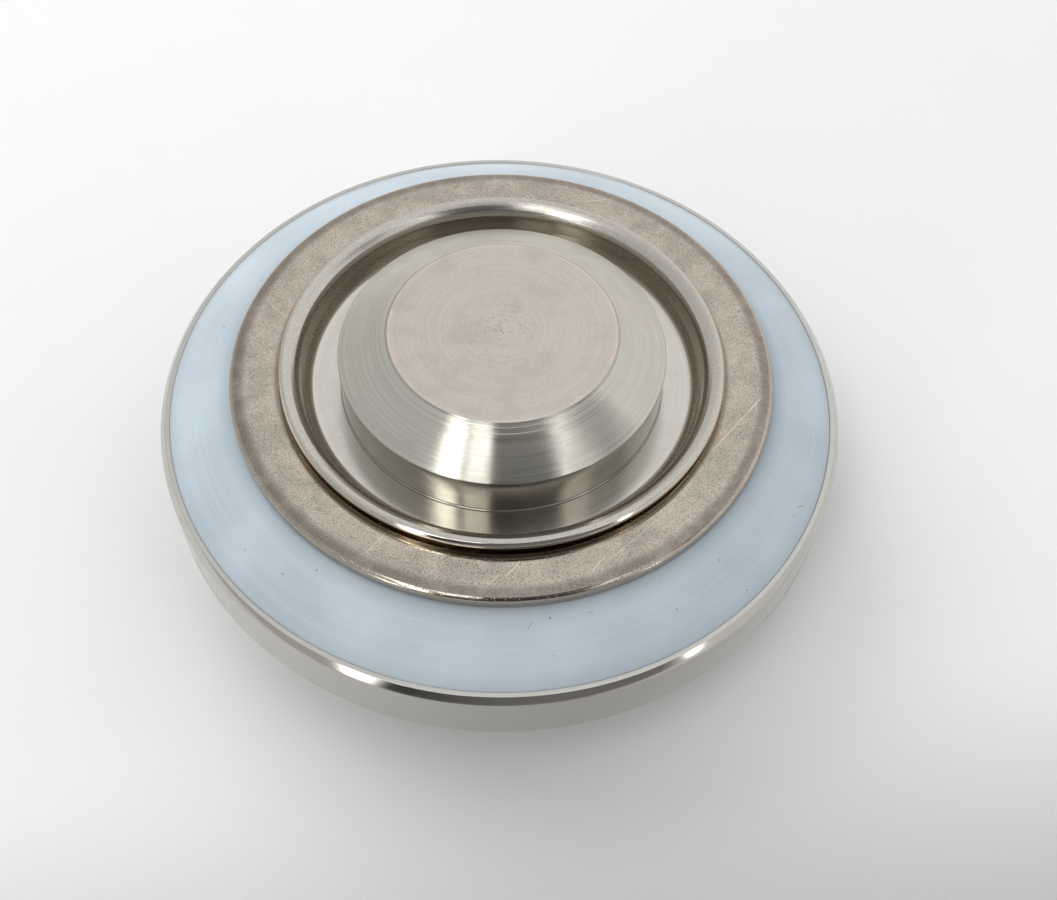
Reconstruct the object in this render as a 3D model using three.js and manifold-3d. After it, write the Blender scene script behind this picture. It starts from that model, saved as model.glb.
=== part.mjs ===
// Wafer check valve with an axially lifting disc on a soft seat. Millimetres, +Z towards the outlet.
// z = 0 is the underside of the guide cage's foot ring, and every turned piece is centred on the Z axis.

import * as THREE from 'three';
import { mergeVertices } from 'three/addons/utils/BufferGeometryUtils.js';
import Module from 'manifold-3d';

const wasm = await Module();
wasm.setup();

// Facets round the large turned pieces and round the small ones.
const LARGE = 48;
const SMALL = 24;

// Assembly gap left between two pieces that lie against each other.
const GAP = 0.05;

// Body ring.
const RING_R = 46;
const RING_BASE_Z = 14;
const RING_EDGE_Z = 22;
const RING_LAND_Z = 23;
const RING_LAND_R = 45.36;
const RING_COUNTERBORE_R = 44.7;
const RING_BORE_R = 31.5;
const RING_RECESS_R = 42.2;
const RING_RECESS_Z = 14.5;
const RING_SHELF_Z = 17;
const SNAP_DEPTH = 0.5;
const SEAT_SEAL_GROOVE = { inner: 39.2, outer: 42, floor: 15.7 };

// Soft seat.
const SEAT_R = 44.6;
const SEAT_BORE_R = 31.2;
const SEAT_TOP_Z = 27.44;
const SEAT_TOP_R = 36;
const SEAT_RIM_Z = 22.7;
const SEAT_CROWN = 0.45;

// Disc plate, cup and boss.
const PLATE_R = 35.97;
const PLATE_BASE_Z = 27.47;
const PLATE_COLLAR_R = 28;
const CUP_FLOOR_Z = 26;
const CUP_SHEET = 0.8;
const LIP_R = 29.4;
const LIP_CREST_Z = 30.85;
const BOSS_R = 21.5;
const BOSS_EDGE_Z = 32;
const BOSS_TOP_R = 14.9;
const BOSS_TOP_Z = 35.8;
const BOSS_SEAL_GROOVE = { inner: 7.2, outer: 9.6, top: 27.25 };

// Disc carrier.
const CARRIER_R = 30.6;
const CARRIER_BASE_Z = 22.8;
const PLATE_SEAL_GROOVE = { inner: 28.1, outer: 29.7, floor: 26.1 };

// Stem and what is threaded or clipped on it.
const STEM_R = 4;
const STEM_BASE_Z = 0.7;
const STEM_TOP_Z = 32.6;
const CLIP_GROOVE = { r: 3, low: 1.3, high: 2.3 };
const WASHER = { r: 7, low: 21.55, high: 22.75 };
const NUT = { flats: 13, low: 17.5, high: 21.5 };

// Guide cage.
const CAGE_FLANGE_R = 42;
const CAGE_OPENING_R = 28.5;
const CAGE_FLANGE_Z = 11;
const CAGE_SPIGOT_R = 31.3;
const CAGE_SPIGOT_Z = 15.4;
const CAGE_ARMS = 4;
const ARM_WIDTH = 5;
const ARM_LOW_Z = 12;
const HUB_TOP_Z = 16.1;
const HUB_R = 9.8;
const HUB_STEP_Z = 14.6;
const SLEEVE_R = 7;
const SLEEVE_END_Z = 9;
const HUB_BORE_R = 5.5;
const LEG_WIDTH = 6;
const FOOT = { inner: 27.8, outer: 32, height: 2.5 };

// Countersunk cage screws.
const SCREW_CIRCLE_R = 36.2;
const SCREW_R = 2;
const SCREW_HEAD_R = 4;
const SCREW_HEAD_DEPTH = 2.2;
const SCREW_END_Z = 16.3;
const SCREW_SOCKET_FLATS = 2.5;

// Guide bush, spring and retainer.
const BUSH_R = 5.45;
const BUSH_BORE_R = 4.06;
const BUSH_FLANGE_R = 8;
const BUSH_TOP_Z = 17.1;
const SPRING = { mean: 8.05, wire: 0.45, low: 3.45, high: 14.55, turns: 5, closed: 1.02 };
const RETAINER = { r: 10, bore: 4.15, low: 2.35, high: 3.4, rim: 4.5, rimInner: 9.1 };
const CLIP = { inner: 3.08, outer: 7.2, mouth: 2.6, low: 1.38, high: 2.26 };

// Materials shared by several pieces.
const FINISH = {
  polished: { color: 0xc9c8c2, roughness: 0.22, metalness: 1 },
  turned: { color: 0xc6bfb2, roughness: 0.3, metalness: 1 },
  grained: { color: 0xa89c8c, roughness: 0.5, metalness: 1 },
  cast: { color: 0xb4b3ae, roughness: 0.45, metalness: 1 },
  hardware: { color: 0xb9b9b5, roughness: 0.32, metalness: 1 },
  spring: { color: 0x8f8f8c, roughness: 0.3, metalness: 1 },
  seat: { color: 0xb6c6d2, roughness: 0.35, metalness: 0 },
  bush: { color: 0xe9e6dc, roughness: 0.5, metalness: 0 },
  seal: { color: 0x1c1c1e, roughness: 0.6, metalness: 0 },
};

// ---------------------------------------------------------------- shape helpers

function signedVolume(geometry) {
  const p = geometry.attributes.position;
  const index = geometry.index.array;
  const a = new THREE.Vector3();
  const b = new THREE.Vector3();
  const c = new THREE.Vector3();
  let volume = 0;
  for (let i = 0; i < index.length; i += 3) {
    a.fromBufferAttribute(p, index[i]);
    b.fromBufferAttribute(p, index[i + 1]);
    c.fromBufferAttribute(p, index[i + 2]);
    volume += a.dot(b.cross(c)) / 6;
  }
  return volume;
}

// Welds a geometry's vertices, drops collapsed triangles and turns every face outwards.
function welded(geometry) {
  geometry.deleteAttribute('normal');
  geometry.deleteAttribute('uv');
  const merged = mergeVertices(geometry, 1e-5);
  const index = merged.index.array;
  const kept = [];
  for (let i = 0; i < index.length; i += 3) {
    const [a, b, c] = [index[i], index[i + 1], index[i + 2]];
    if (a !== b && b !== c && c !== a) {
      kept.push(a, b, c);
    }
  }
  merged.setIndex(kept);
  if (signedVolume(merged) < 0) {
    for (let i = 0; i < kept.length; i += 3) {
      [kept[i + 1], kept[i + 2]] = [kept[i + 2], kept[i + 1]];
    }
    merged.setIndex(kept);
  }
  return merged;
}

// Turns a closed outline of [radius, height] points about the Z axis.
function turned(outline, facets) {
  const points = outline.map(([r, z]) => new THREE.Vector2(r, z));
  const last = points[points.length - 1];
  const onAxis = points[0].x === 0 && last.x === 0;
  if (!onAxis) {
    points.push(points[0].clone());
  }
  const geometry = new THREE.LatheGeometry(points, facets, Math.PI / 2);
  geometry.rotateX(Math.PI / 2);
  return welded(geometry);
}

// Extrudes a flat outline, with optional holes, between two heights.
function prism(outline, low, high, holes = []) {
  const shape = new THREE.Shape(outline.map(([x, y]) => new THREE.Vector2(x, y)));
  for (const hole of holes) {
    shape.holes.push(new THREE.Path(hole.map(([x, y]) => new THREE.Vector2(x, y))));
  }
  const geometry = new THREE.ExtrudeGeometry(shape, { depth: high - low, bevelEnabled: false });
  geometry.translate(0, 0, low);
  return welded(geometry);
}

function polygon(radius, sides, phase = 0) {
  const points = [];
  for (let i = 0; i < sides; i += 1) {
    const angle = phase + (i * 2 * Math.PI) / sides;
    points.push([radius * Math.cos(angle), radius * Math.sin(angle)]);
  }
  return points;
}

// A rectangular bar along a radius, between two radii and two heights.
function radialBar(angle, inner, outer, width, low, high) {
  const geometry = new THREE.BoxGeometry(outer - inner, width, high - low);
  geometry.translate((inner + outer) / 2, 0, (low + high) / 2);
  geometry.rotateZ(angle);
  return welded(geometry);
}

function placed(geometry, x, y) {
  const copy = geometry.clone();
  copy.translate(x, y, 0);
  return copy;
}

// ---------------------------------------------------------------- boolean helpers

function toManifold(geometry) {
  const vertProperties = new Float32Array(geometry.attributes.position.array);
  const triVerts = new Uint32Array(geometry.index.array);
  const mesh = new wasm.Mesh({ numProp: 3, vertProperties, triVerts });
  mesh.merge();
  return new wasm.Manifold(mesh);
}

function fromManifold(manifold) {
  const mesh = manifold.getMesh();
  const geometry = new THREE.BufferGeometry();
  geometry.setAttribute('position', new THREE.BufferAttribute(new Float32Array(mesh.vertProperties), 3));
  geometry.setIndex(Array.from(mesh.triVerts));
  return welded(geometry);
}

function united(geometries) {
  let result = toManifold(geometries[0]);
  for (const geometry of geometries.slice(1)) {
    result = result.add(toManifold(geometry));
  }
  return fromManifold(result);
}

function cut(geometry, tools) {
  let result = toManifold(geometry);
  for (const tool of tools) {
    result = result.subtract(toManifold(tool));
  }
  return fromManifold(result);
}

function piece(name, geometry, finish) {
  const plain = geometry.toNonIndexed();
  plain.computeVertexNormals();
  const material = new THREE.MeshStandardMaterial({ ...FINISH[finish] });
  material.name = finish;
  const mesh = new THREE.Mesh(plain, material);
  mesh.name = name;
  return mesh;
}

// ---------------------------------------------------------------- fixed pieces

function screwPositions() {
  return polygon(SCREW_CIRCLE_R, CAGE_ARMS);
}

function bodyRing() {
  const groove = SEAT_SEAL_GROOVE;
  const ring = turned([
    [RING_BORE_R, RING_RECESS_Z],
    [RING_RECESS_R, RING_RECESS_Z],
    [RING_RECESS_R, RING_BASE_Z],
    [RING_R - 0.5, RING_BASE_Z],
    [RING_R, RING_BASE_Z + 0.5],
    [RING_R, RING_EDGE_Z],
    [RING_LAND_R, RING_LAND_Z],
    [RING_COUNTERBORE_R, RING_LAND_Z],
    [RING_COUNTERBORE_R, 20.3],
    [RING_COUNTERBORE_R + SNAP_DEPTH, 19.9],
    [RING_COUNTERBORE_R + SNAP_DEPTH, 18.7],
    [RING_COUNTERBORE_R, 18.3],
    [RING_COUNTERBORE_R, RING_SHELF_Z],
    [groove.outer, RING_SHELF_Z],
    [groove.outer, groove.floor],
    [groove.inner, groove.floor],
    [groove.inner, RING_SHELF_Z],
    [RING_BORE_R, RING_SHELF_Z],
  ], LARGE);
  const threadedHole = prism(polygon(SCREW_R + 0.02, SMALL), RING_BASE_Z - 1, SCREW_END_Z + 0.2);
  return cut(ring, screwPositions().map(([x, y]) => placed(threadedHole, x, y)));
}

// The seat's upper face is a shallow cone with a slight crown.
function seatFace(steps) {
  const points = [];
  for (let i = 0; i <= steps; i += 1) {
    const t = i / steps;
    const r = SEAT_R + (SEAT_TOP_R - SEAT_R) * t;
    const z = SEAT_RIM_Z + (SEAT_TOP_Z - SEAT_RIM_Z) * t + SEAT_CROWN * Math.sin(Math.PI * t);
    points.push([r, z]);
  }
  return points;
}

function seatRing() {
  const ribR = SEAT_R + SNAP_DEPTH;
  return turned([
    [SEAT_BORE_R, RING_SHELF_Z + GAP],
    [SEAT_R, RING_SHELF_Z + GAP],
    [SEAT_R, 18.4],
    [ribR, 18.8],
    [ribR, 19.8],
    [SEAT_R, 20.2],
    ...seatFace(5),
    [SEAT_BORE_R + 0.8, SEAT_TOP_Z],
    [SEAT_BORE_R, SEAT_TOP_Z - 0.8],
  ], LARGE);
}

// An O-ring squeezed into a groove: a six-sided section, slightly flattened.
function sealRing(radius, halfWidth, low, high, facets) {
  const middle = (low + high) / 2;
  const half = (high - low) / 2;
  const section = [];
  for (let i = 0; i < 6; i += 1) {
    const angle = (i * Math.PI) / 3 + Math.PI / 6;
    section.push([
      radius + halfWidth * Math.cos(angle) / Math.cos(Math.PI / 6),
      middle + half * Math.sin(angle),
    ]);
  }
  return turned(section, facets);
}

function seatSeal() {
  const groove = SEAT_SEAL_GROOVE;
  const radius = (groove.inner + groove.outer) / 2;
  return sealRing(radius, 1, groove.floor + 0.02, RING_SHELF_Z + 0.02, LARGE);
}

function cageFlange() {
  return turned([
    [CAGE_OPENING_R, CAGE_FLANGE_Z],
    [CAGE_FLANGE_R - 0.5, CAGE_FLANGE_Z],
    [CAGE_FLANGE_R, CAGE_FLANGE_Z + 0.5],
    [CAGE_FLANGE_R, RING_RECESS_Z - GAP],
    [CAGE_SPIGOT_R, RING_RECESS_Z - GAP],
    [CAGE_SPIGOT_R, CAGE_SPIGOT_Z],
    [CAGE_OPENING_R, CAGE_SPIGOT_Z],
  ], LARGE);
}

function cageFoot() {
  return turned([
    [FOOT.inner, 0],
    [FOOT.outer - 0.4, 0],
    [FOOT.outer, 0.4],
    [FOOT.outer, FOOT.height],
    [FOOT.inner, FOOT.height],
  ], LARGE);
}

function cageHub() {
  return turned([
    [HUB_BORE_R, SLEEVE_END_Z],
    [SLEEVE_R, SLEEVE_END_Z],
    [SLEEVE_R, HUB_STEP_Z],
    [HUB_R, HUB_STEP_Z],
    [HUB_R + 0.6, HUB_STEP_Z + 0.6],
    [HUB_R + 0.6, HUB_TOP_Z],
    [HUB_BORE_R, HUB_TOP_Z],
  ], SMALL);
}

function guideCage() {
  const parts = [cageFlange(), cageFoot(), cageHub()];
  for (let i = 0; i < CAGE_ARMS; i += 1) {
    const angle = Math.PI / 4 + (i * 2 * Math.PI) / CAGE_ARMS;
    const arm = [HUB_R - 0.1, CAGE_SPIGOT_R - 0.8, ARM_WIDTH, ARM_LOW_Z, HUB_TOP_Z - 0.2];
    const leg = [FOOT.inner + 0.8, FOOT.outer - 0.4, LEG_WIDTH, FOOT.height - 0.5, CAGE_FLANGE_Z + 0.5];
    parts.push(radialBar(angle, ...arm), radialBar(angle, ...leg));
  }
  const clearance = turned([
    [0, CAGE_FLANGE_Z - 1],
    [SCREW_HEAD_R + GAP, CAGE_FLANGE_Z - 1],
    [SCREW_HEAD_R + GAP, CAGE_FLANGE_Z + 0.4],
    [SCREW_R + 0.15, CAGE_FLANGE_Z + SCREW_HEAD_DEPTH + 0.2],
    [SCREW_R + 0.15, RING_BASE_Z + 1],
    [0, RING_BASE_Z + 1],
  ], SMALL);
  const holes = screwPositions().map(([x, y]) => placed(clearance, x, y));
  return cut(united(parts), holes);
}

function cageScrew() {
  const head = CAGE_FLANGE_Z + 0.1;
  const blank = turned([
    [0, head],
    [SCREW_HEAD_R, head],
    [SCREW_HEAD_R, head + 0.2],
    [SCREW_R, head + SCREW_HEAD_DEPTH],
    [SCREW_R, SCREW_END_Z - 0.4],
    [SCREW_R - 0.4, SCREW_END_Z],
    [0, SCREW_END_Z],
  ], SMALL);
  const socket = prism(polygon(SCREW_SOCKET_FLATS / Math.sqrt(3), 6), head - 1, head + 1.6);
  return cut(blank, [socket]);
}

function guideBush() {
  return turned([
    [BUSH_BORE_R, SLEEVE_END_Z + 0.3],
    [BUSH_R, SLEEVE_END_Z + 0.3],
    [BUSH_R, HUB_TOP_Z + GAP],
    [BUSH_FLANGE_R, HUB_TOP_Z + GAP],
    [BUSH_FLANGE_R, BUSH_TOP_Z - 0.2],
    [BUSH_FLANGE_R - 0.2, BUSH_TOP_Z],
    [BUSH_BORE_R, BUSH_TOP_Z],
  ], SMALL);
}

// Compression spring with one closed coil at each end and an even pitch between them.
function closingSpring() {
  const low = SPRING.low + SPRING.wire;
  const high = SPRING.high - SPRING.wire;
  const active = SPRING.turns - 2;
  const pitch = (high - low - 2 * SPRING.closed) / active;
  const stepsPerTurn = 16;
  const steps = SPRING.turns * stepsPerTurn;
  const sides = 6;
  const positions = [];
  for (let i = 0; i <= steps; i += 1) {
    const turn = i / stepsPerTurn;
    const angle = turn * 2 * Math.PI;
    let z = low + turn * SPRING.closed;
    if (turn > 1) {
      z = low + SPRING.closed + (Math.min(turn, SPRING.turns - 1) - 1) * pitch;
    }
    if (turn > SPRING.turns - 1) {
      z += (turn - (SPRING.turns - 1)) * SPRING.closed;
    }
    for (let k = 0; k < sides; k += 1) {
      const section = (k * 2 * Math.PI) / sides;
      const r = SPRING.mean + SPRING.wire * Math.cos(section);
      positions.push(r * Math.cos(angle), r * Math.sin(angle), z + SPRING.wire * Math.sin(section));
    }
  }
  const index = [];
  for (let i = 0; i < steps; i += 1) {
    for (let k = 0; k < sides; k += 1) {
      const a = i * sides + k;
      const b = i * sides + ((k + 1) % sides);
      index.push(a, a + sides, b, b, a + sides, b + sides);
    }
  }
  for (let k = 1; k < sides - 1; k += 1) {
    const end = steps * sides;
    index.push(0, k, k + 1);
    index.push(end, end + k + 1, end + k);
  }
  const geometry = new THREE.BufferGeometry();
  geometry.setAttribute('position', new THREE.Float32BufferAttribute(positions, 3));
  geometry.setIndex(index);
  return welded(geometry);
}

// ---------------------------------------------------------------- moving pieces

function discPlate() {
  return turned([
    [PLATE_COLLAR_R, PLATE_BASE_Z],
    [PLATE_R - 0.3, PLATE_BASE_Z],
    [PLATE_R, PLATE_BASE_Z + 0.3],
    [PLATE_R, 28.8],
    [PLATE_R - 0.22, 29.22],
    [PLATE_R - 0.75, 29.42],
    [34, 29.36],
    [29.2, 28.9],
    [28.75, 28.98],
    [28.5, 29.3],
    [28.5, 29.55],
    [PLATE_COLLAR_R, 29.55],
  ], LARGE);
}

function discCup() {
  const under = CUP_FLOOR_Z - CUP_SHEET;
  return turned([
    [STEM_R + 0.15, under],
    [25.2, under],
    [26.3, 25.6],
    [26.95, 26.6],
    [27.25, 28.0],
    [27.6, 29.2],
    [27.95, 29.62],
    [28.7, 29.62],
    [29.1, 29.45],
    [LIP_R, 29.7],
    [LIP_R - 0.05, 30.2],
    [29.0, 30.66],
    [28.4, LIP_CREST_Z],
    [27.85, 30.74],
    [27.3, 30.35],
    [26.95, 29.6],
    [26.45, 28.0],
    [26.2, 27.0],
    [25.75, 26.3],
    [25.0, CUP_FLOOR_Z],
    [STEM_R + 0.15, CUP_FLOOR_Z],
  ], LARGE);
}

function discBoss() {
  const groove = BOSS_SEAL_GROOVE;
  const low = CUP_FLOOR_Z + GAP;
  return turned([
    [0, STEM_TOP_Z + 0.4],
    [STEM_R + 0.02, STEM_TOP_Z + 0.4],
    [STEM_R + 0.02, low],
    [groove.inner, low],
    [groove.inner, groove.top],
    [groove.outer, groove.top],
    [groove.outer, low],
    [BOSS_R + 0.5, low],
    [BOSS_R + 0.15, low + 0.2],
    [BOSS_R, low + 0.7],
    [BOSS_R, BOSS_EDGE_Z],
    [BOSS_TOP_R, BOSS_TOP_Z],
    [0, BOSS_TOP_Z],
  ], LARGE);
}

function bossSeal() {
  const groove = BOSS_SEAL_GROOVE;
  const radius = (groove.inner + groove.outer) / 2;
  return sealRing(radius, 0.8, CUP_FLOOR_Z + 0.02, groove.top - 0.03, SMALL);
}

function discCarrier() {
  const groove = PLATE_SEAL_GROOVE;
  const top = PLATE_BASE_Z - GAP;
  const bed = CUP_FLOOR_Z - CUP_SHEET - GAP;
  return turned([
    [STEM_R + 0.1, CARRIER_BASE_Z],
    [CARRIER_R - 1.2, CARRIER_BASE_Z],
    [CARRIER_R, CARRIER_BASE_Z + 1.2],
    [CARRIER_R, top - 0.3],
    [CARRIER_R - 0.3, top],
    [groove.outer, top],
    [groove.outer, groove.floor],
    [groove.inner, groove.floor],
    [groove.inner, top],
    [27.35, top],
    [27.3, 26.0],
    [26.6, bed],
    [STEM_R + 0.1, bed],
  ], LARGE);
}

function plateSeal() {
  const groove = PLATE_SEAL_GROOVE;
  const radius = (groove.inner + groove.outer) / 2;
  return sealRing(radius, 0.6, groove.floor + 0.03, PLATE_BASE_Z - 0.03, LARGE);
}

function stem() {
  return turned([
    [0, STEM_BASE_Z],
    [STEM_R - 0.5, STEM_BASE_Z],
    [STEM_R, STEM_BASE_Z + 0.4],
    [STEM_R, CLIP_GROOVE.low],
    [CLIP_GROOVE.r, CLIP_GROOVE.low],
    [CLIP_GROOVE.r, CLIP_GROOVE.high],
    [STEM_R, CLIP_GROOVE.high],
    [STEM_R, STEM_TOP_Z - 0.6],
    [STEM_R - 0.6, STEM_TOP_Z],
    [0, STEM_TOP_Z],
  ], SMALL);
}

// Split lock washer: a ring with a narrow cut.
function lockWasher() {
  const ring = turned([
    [STEM_R + 0.2, WASHER.low],
    [WASHER.r, WASHER.low],
    [WASHER.r, WASHER.high],
    [STEM_R + 0.2, WASHER.high],
  ], SMALL);
  const slit = radialBar(Math.PI / 6, STEM_R - 1, WASHER.r + 1, 0.7, WASHER.low - 1, WASHER.high + 1);
  return cut(ring, [slit]);
}

function discNut() {
  const corner = NUT.flats / Math.sqrt(3);
  const blank = prism(polygon(corner, 6), NUT.low, NUT.high);
  const outside = turned([
    [0, NUT.low - 0.01],
    [NUT.flats / 2 - 0.1, NUT.low - 0.01],
    [corner + 0.05, NUT.low + 0.65],
    [corner + 0.05, NUT.high - 0.65],
    [NUT.flats / 2 - 0.1, NUT.high + 0.01],
    [0, NUT.high + 0.01],
  ], SMALL);
  const chamfered = fromManifold(toManifold(blank).intersect(toManifold(outside)));
  const thread = prism(polygon(STEM_R + 0.02, SMALL), NUT.low - 1, NUT.high + 1);
  return cut(chamfered, [thread]);
}

function springRetainer() {
  return turned([
    [RETAINER.bore, RETAINER.low],
    [RETAINER.r - 0.6, RETAINER.low],
    [RETAINER.r, RETAINER.low + 0.6],
    [RETAINER.r, RETAINER.rim],
    [RETAINER.rimInner, RETAINER.rim],
    [RETAINER.rimInner, RETAINER.high],
    [RETAINER.bore, RETAINER.high],
  ], SMALL);
}

// Open clip with a mouth just narrower than the stem's groove.
function retainerClip() {
  const outline = [];
  const steps = 20;
  const outerHalf = Math.asin(CLIP.mouth / CLIP.outer);
  const innerHalf = Math.asin(CLIP.mouth / CLIP.inner);
  for (let i = 0; i <= steps; i += 1) {
    const angle = outerHalf + ((2 * Math.PI - 2 * outerHalf) * i) / steps;
    outline.push([CLIP.outer * Math.cos(angle), CLIP.outer * Math.sin(angle)]);
  }
  for (let i = steps; i >= 0; i -= 1) {
    const angle = innerHalf + ((2 * Math.PI - 2 * innerHalf) * i) / steps;
    outline.push([CLIP.inner * Math.cos(angle), CLIP.inner * Math.sin(angle)]);
  }
  return prism(outline, CLIP.low, CLIP.high);
}

// ---------------------------------------------------------------- assembly

const body = new THREE.Group();
body.name = 'valve_body';
body.add(
  piece('body_ring', bodyRing(), 'polished'),
  piece('seat_ring', seatRing(), 'seat'),
  piece('seat_o_ring', seatSeal(), 'seal'),
  piece('guide_cage', guideCage(), 'cast'),
  piece('guide_bush', guideBush(), 'bush'),
  piece('closing_spring', closingSpring(), 'spring'),
);
screwPositions().forEach(([x, y], i) => {
  body.add(piece(`cage_screw_${i + 1}`, placed(cageScrew(), x, y), 'hardware'));
});

const disc = new THREE.Group();
disc.name = 'disc_assembly';
disc.add(
  piece('disc_plate', discPlate(), 'grained'),
  piece('disc_cup', discCup(), 'turned'),
  piece('disc_boss', discBoss(), 'turned'),
  piece('disc_carrier', discCarrier(), 'cast'),
  piece('plate_o_ring', plateSeal(), 'seal'),
  piece('boss_o_ring', bossSeal(), 'seal'),
  piece('stem', stem(), 'hardware'),
  piece('disc_lock_washer', lockWasher(), 'hardware'),
  piece('disc_nut', discNut(), 'hardware'),
  piece('spring_retainer', springRetainer(), 'hardware'),
  piece('retainer_clip', retainerClip(), 'spring'),
);

const valve = new THREE.Group();
valve.name = 'wafer_check_valve';
valve.add(body, disc);

export default valve;
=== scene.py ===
"""Wafer check valve: detailed pieces and finishes round the CAD frame, and a plain studio stage.

Every length in the outlines below is in millimetres; the scene is in metres. +Z is the flow direction.
"""

import math

import bpy
from bpy.props import FloatProperty, FloatVectorProperty, IntProperty, PointerProperty
from mathutils import Matrix, Vector


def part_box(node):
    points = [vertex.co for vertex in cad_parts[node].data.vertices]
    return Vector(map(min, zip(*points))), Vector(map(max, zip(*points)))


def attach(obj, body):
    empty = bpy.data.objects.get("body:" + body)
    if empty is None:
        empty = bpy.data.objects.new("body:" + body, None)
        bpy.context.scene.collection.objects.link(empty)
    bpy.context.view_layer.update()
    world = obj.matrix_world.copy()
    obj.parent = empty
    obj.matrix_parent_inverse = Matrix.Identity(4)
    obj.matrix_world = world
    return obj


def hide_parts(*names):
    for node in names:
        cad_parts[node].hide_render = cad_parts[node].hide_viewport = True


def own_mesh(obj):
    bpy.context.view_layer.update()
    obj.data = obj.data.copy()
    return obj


bl_info = {
    "name": "Wafer check valve",
    "version": (1, 0, 0),
    "blender": (4, 5, 0),
    "location": "View3D > Sidebar > Check valve",
    "description": "Builds the looks of a sprung wafer check valve round its CAD frame",
    "category": "Object",
}

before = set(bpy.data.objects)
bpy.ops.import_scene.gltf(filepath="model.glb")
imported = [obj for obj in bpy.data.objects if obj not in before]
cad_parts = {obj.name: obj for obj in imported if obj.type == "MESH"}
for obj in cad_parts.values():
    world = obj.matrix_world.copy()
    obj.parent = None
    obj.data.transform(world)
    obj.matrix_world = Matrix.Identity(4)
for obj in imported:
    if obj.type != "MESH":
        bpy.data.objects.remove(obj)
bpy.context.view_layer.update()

MM = 0.001
BODY = "valve_body"
DISC = "disc_assembly"
QUARTER_TURNS = [i * math.pi / 2 for i in range(4)]

# Where the pieces meet, read from the frame, in millimetres.
RING_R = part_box("body_ring")[1].x / MM
RING_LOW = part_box("body_ring")[0].z / MM
RING_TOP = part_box("body_ring")[1].z / MM
SEAT_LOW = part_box("seat_ring")[0].z / MM
PLATE_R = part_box("disc_plate")[1].x / MM
PLATE_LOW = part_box("disc_plate")[0].z / MM
CUP_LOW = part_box("disc_cup")[0].z / MM
CUP_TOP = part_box("disc_cup")[1].z / MM
LIP_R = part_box("disc_cup")[1].x / MM
BOSS_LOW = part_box("disc_boss")[0].z / MM
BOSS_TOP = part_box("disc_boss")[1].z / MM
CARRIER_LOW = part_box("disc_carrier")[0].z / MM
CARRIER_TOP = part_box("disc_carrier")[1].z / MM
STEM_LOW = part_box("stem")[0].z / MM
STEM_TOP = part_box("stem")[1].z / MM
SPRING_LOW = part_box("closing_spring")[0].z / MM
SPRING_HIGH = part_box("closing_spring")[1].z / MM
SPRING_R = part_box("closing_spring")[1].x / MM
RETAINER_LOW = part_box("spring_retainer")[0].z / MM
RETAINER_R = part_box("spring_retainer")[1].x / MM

# Sizes that more than one piece or finish uses, in millimetres.
BEVEL_HEIGHT = 0.9
SEAT_RIM = (44.66, 22.95)
SEAT_CREST = (36.0, 27.44)
LIP_START = 29.2
BOSS_R = 21.5
SCREW_CIRCLE_R = 36.2
STEM_R = 4.0
THREAD_ROOT_R = 3.62
M4_PITCH = 0.7
M8_PITCH = 1.0


# ------------------------------------------------------------------ settings


def length_property(name, description, millimetres):
    return FloatProperty(name=name, description=description, default=millimetres * MM, unit="LENGTH")


def colour_property(name, description, default):
    return FloatVectorProperty(
        name=name, description=description, default=default, subtype="COLOR", size=3, min=0.0, max=1.0
    )


class ValveSizes(bpy.types.PropertyGroup):
    """Sizes a user would change."""

    facets: IntProperty(
        name="Facets", description="Facets round each turned piece", default=256, min=64, max=512
    )
    ring_bevel: length_property("Ring bevel", "Width of the bevel round the ring's outlet edge", 0.70)
    ring_land: length_property("Ring land", "Width of the flat land round the seat", 0.60)
    seat_crown: length_property("Seat crown", "Swell of the seat's face above a straight cone", 0.50)
    boss_flat: length_property("Boss flat", "Radius of the flat top of the disc boss", 14.9)
    spring_wire: length_property("Spring wire", "Radius of the closing spring's wire", 0.45)


class ValveColours(bpy.types.PropertyGroup):
    """Base colours, linear."""

    ring: colour_property("Ring steel", "Polished body ring", (0.62, 0.60, 0.56))
    seat: colour_property("Seat polymer", "Pale blue soft seat", (0.53, 0.61, 0.672))
    plate: colour_property("Plate steel", "Pickled disc plate", (0.60, 0.525, 0.44))
    cup: colour_property("Cup steel", "Spun disc cup", (0.72, 0.675, 0.60))
    # The lip's colour is the cup steel's darkened, as painted shade.
    lip: colour_property("Lip steel", "Rolled lip of the disc cup", (0.57, 0.53, 0.47))
    boss: colour_property("Boss steel", "Turned disc boss", (0.61, 0.58, 0.505))
    boss_top: colour_property("Boss top", "Faced top of the disc boss", (0.67, 0.605, 0.53))
    cage: colour_property("Cage steel", "Cast guide cage", (0.50, 0.49, 0.46))
    hardware: colour_property("Fastener steel", "Screws, nut, stem", (0.56, 0.55, 0.52))
    spring: colour_property("Spring wire", "Drawn spring wire", (0.38, 0.37, 0.35))
    bush: colour_property("Bush polymer", "Guide bush", (0.78, 0.75, 0.68))
    seal: colour_property("Seal rubber", "O-rings", (0.022, 0.022, 0.024))
    floor: colour_property("Floor", "Pale studio floor", (0.90, 0.90, 0.89))


# ------------------------------------------------------------------ modelling


def clear_selection():
    if bpy.context.mode != "OBJECT":
        bpy.ops.object.mode_set(mode="OBJECT")
    bpy.ops.object.select_all(action="DESELECT")


def make_active(piece):
    clear_selection()
    piece.select_set(True)
    bpy.context.view_layer.objects.active = piece


def named(name):
    piece = bpy.context.active_object
    piece.name = name
    piece.data.name = name
    return piece


def settle_origin(piece):
    """Moves the piece's place into its mesh, so that its origin is the row's."""
    make_active(piece)
    bpy.ops.object.transform_apply(location=True, rotation=True, scale=True)


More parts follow.
